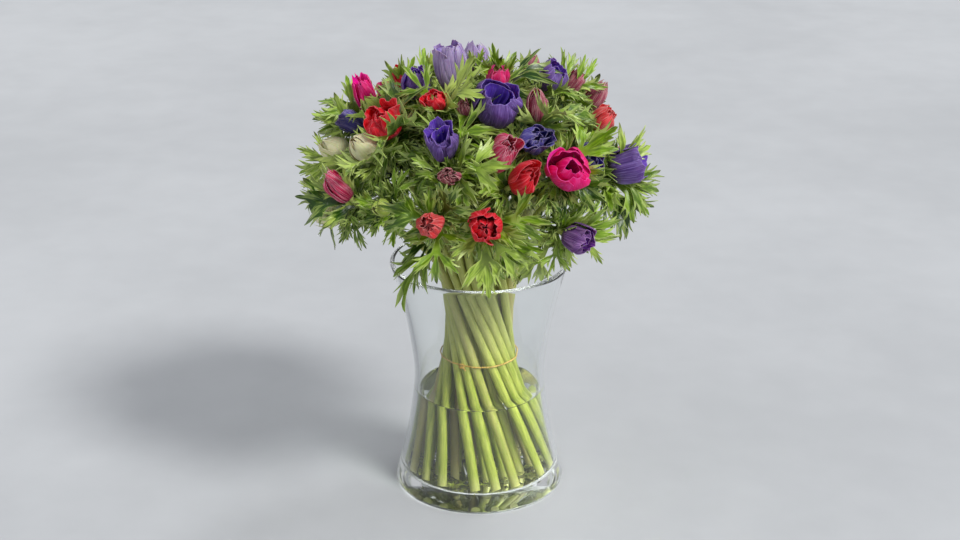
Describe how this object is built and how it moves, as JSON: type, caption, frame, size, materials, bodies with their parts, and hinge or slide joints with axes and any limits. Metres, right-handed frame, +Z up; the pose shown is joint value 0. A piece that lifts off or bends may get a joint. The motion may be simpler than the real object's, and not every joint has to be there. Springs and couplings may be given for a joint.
{
  "type": "bouquet of anemones in a glass vase",
  "caption": "Dome-shaped hand-tied bunch of anemones with cut leaves, its crossed stems held by a rubber band in water in a waisted clear glass vase.",
  "frame": {"origin": "middle of the vase's flat underside", "axes": "+Z up along the vase's axis, -Y towards the viewer of the picture, +X to the viewer's right"},
  "size_m": [0.2901, 0.2814, 0.4],
  "materials": {
    "vase_glass": "clear polished glass with a thick base",
    "water": "clear still water, tinted faintly green",
    "rubber_band": "matt amber rubber",
    "stems_and_leaves": "soft satin fresh green, paler on the stems and at the leaf edges",
    "petals_red": "silky petals, scarlet",
    "petals_coral": "silky petals, coral red with paler edges",
    "petals_crimson": "silky petals, crimson with pale streaks",
    "petals_pink": "silky petals, hot pink",
    "petals_magenta": "silky petals, magenta",
    "petals_purple": "silky petals, purple",
    "petals_violet": "silky petals, violet blue",
    "petals_navy": "silky petals, dark blue violet",
    "petals_lilac": "silky petals, pale lilac with purple veins",
    "petals_mauve": "silky petals, dusty mauve with striped backs",
    "petals_cream": "silky petals, cream, greenish at the base",
    "petals_green": "silky petals, yellow-green, still closed"
  },
  "bodies": {
    "root": {"vase": "vase_glass", "water": "water", "tie_band": "rubber_band", "bloom_01": "petals_magenta", "bloom_02": "petals_red", "bloom_03": "petals_violet", "bloom_04": "petals_lilac", "bloom_05": "petals_lilac", "bloom_06": "petals_pink", "bloom_07": "petals_violet", "bloom_08": "petals_violet", "bloom_09": "petals_mauve", "bloom_10": "petals_mauve", "bloom_11": "petals_mauve", "bloom_12": "petals_mauve", "bloom_13": "petals_coral", "bloom_14": "petals_navy", "bloom_15": "petals_crimson", "bloom_16": "petals_red", "bloom_17": "petals_magenta", "bloom_18": "petals_navy", "bloom_19": "petals_violet", "bloom_20": "petals_purple", "bloom_21": "petals_red", "bloom_22": "petals_coral", "bloom_23": "petals_mauve", "bloom_24": "petals_purple", "bloom_25": "petals_red", "bloom_26": "petals_navy", "bloom_27": "petals_cream", "bloom_28": "petals_cream", "bloom_29": "petals_crimson", "bloom_30": "petals_cream", "bloom_31": "petals_green", "bloom_32": "petals_red", "bloom_33": "petals_mauve", "bloom_34": "petals_green", "bloom_35": "petals_green", "bloom_36": "petals_red", "bloom_37": "petals_violet", "bloom_38": "petals_pink", "bloom_39": "petals_purple", "bloom_40": "petals_magenta", "bloom_41": "petals_red", "bloom_42": "petals_navy", "bloom_43": "petals_crimson", "bloom_44": "petals_coral", "leafy_stems_01": "stems_and_leaves", "leafy_stems_02": "stems_and_leaves", "leafy_stems_03": "stems_and_leaves", "leafy_stems_04": "stems_and_leaves", "leafy_stems_05": "stems_and_leaves", "leafy_stems_06": "stems_and_leaves", "leafy_stems_07": "stems_and_leaves", "leafy_stems_08": "stems_and_leaves", "leafy_stems_09": "stems_and_leaves", "leafy_stems_10": "stems_and_leaves", "leafy_stems_11": "stems_and_leaves", "leafy_stems_12": "stems_and_leaves"}
  },
  "joints": []
}
